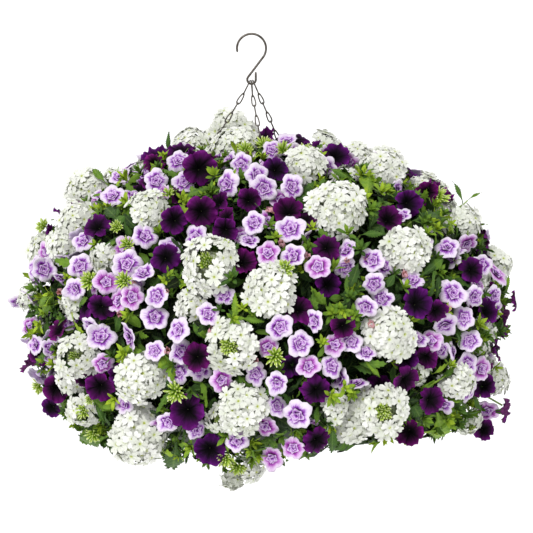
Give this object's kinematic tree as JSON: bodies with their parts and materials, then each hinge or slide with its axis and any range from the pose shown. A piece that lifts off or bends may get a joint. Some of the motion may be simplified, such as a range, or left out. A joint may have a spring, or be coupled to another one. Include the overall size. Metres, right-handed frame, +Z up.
{
  "type": "petunia hanging basket",
  "caption": "Hanging pot on an S-hook and chains, filled with a round mound of purple petunias, lilac double calibrachoas, white verbena heads and green leaves.",
  "frame": {"origin": "inner crest of the hook's upper loop, where the basket hangs", "axes": "+Z up out of the loop's crest, +X to the right and +Y away from the viewer of the basket's front"},
  "size_m": [0.6081, 0.5657, 0.5025],
  "materials": {
    "steel": "dark grey wire, weathered, satin",
    "pot_plastic": "dark green moulded plastic, finely grained",
    "potting_soil": "damp peat and bark crumbs, matt",
    "verbena_petals": "white petals with pale green eyes, soft matt",
    "petunia_petals": "deep purple velvet petals with a black throat",
    "calibrachoa_petals": "lilac white petals, purple veins and a purple ring round a ruffled middle",
    "leaf_green": "green leaves with sunk veins, softly hairy, satin"
  },
  "bodies": {
    "root": {"calibrachoa_blooms_01": "calibrachoa_petals", "calibrachoa_blooms_02": "calibrachoa_petals", "calibrachoa_blooms_03": "calibrachoa_petals", "calibrachoa_blooms_04": "calibrachoa_petals", "calibrachoa_blooms_05": "calibrachoa_petals", "calibrachoa_blooms_06": "calibrachoa_petals", "calibrachoa_blooms_07": "calibrachoa_petals", "calibrachoa_blooms_08": "calibrachoa_petals", "calibrachoa_blooms_09": "calibrachoa_petals", "calibrachoa_blooms_10": "calibrachoa_petals", "calibrachoa_blooms_11": "calibrachoa_petals", "calibrachoa_blooms_12": "calibrachoa_petals", "calibrachoa_blooms_13": "calibrachoa_petals", "calibrachoa_blooms_14": "calibrachoa_petals", "calibrachoa_blooms_15": "calibrachoa_petals", "calibrachoa_blooms_16": "calibrachoa_petals", "calibrachoa_blooms_17": "calibrachoa_petals", "calibrachoa_blooms_18": "calibrachoa_petals", "chain_front": "steel", "chain_left": "steel", "chain_right": "steel", "hook": "steel", "leafy_stem_01": "leaf_green", "leafy_stem_02": "leaf_green", "leafy_stem_03": "leaf_green", "leafy_stem_04": "leaf_green", "leafy_stem_05": "leaf_green", "leafy_stem_06": "leaf_green", "leafy_stem_07": "leaf_green", "leafy_stem_08": "leaf_green", "leafy_stem_09": "leaf_green", "leafy_stem_10": "leaf_green", "leafy_stem_11": "leaf_green", "leafy_stem_12": "leaf_green", "petunia_blooms_01": "petunia_petals", "petunia_blooms_02": "petunia_petals", "petunia_blooms_03": "petunia_petals", "petunia_blooms_04": "petunia_petals", "petunia_blooms_05": "petunia_petals", "petunia_blooms_06": "petunia_petals", "petunia_blooms_07": "petunia_petals", "petunia_blooms_08": "petunia_petals", "petunia_blooms_09": "petunia_petals", "petunia_blooms_10": "petunia_petals", "petunia_blooms_11": "petunia_petals", "petunia_blooms_12": "petunia_petals", "pot": "pot_plastic", "soil": "potting_soil", "verbena_heads_01": "verbena_petals", "verbena_heads_02": "verbena_petals", "verbena_heads_03": "verbena_petals", "verbena_heads_04": "verbena_petals", "verbena_heads_05": "verbena_petals", "verbena_heads_06": "verbena_petals", "verbena_heads_07": "verbena_petals", "verbena_heads_08": "verbena_petals", "verbena_heads_09": "verbena_petals", "verbena_heads_10": "verbena_petals", "verbena_heads_11": "verbena_petals", "verbena_heads_12": "verbena_petals"}
  },
  "joints": []
}
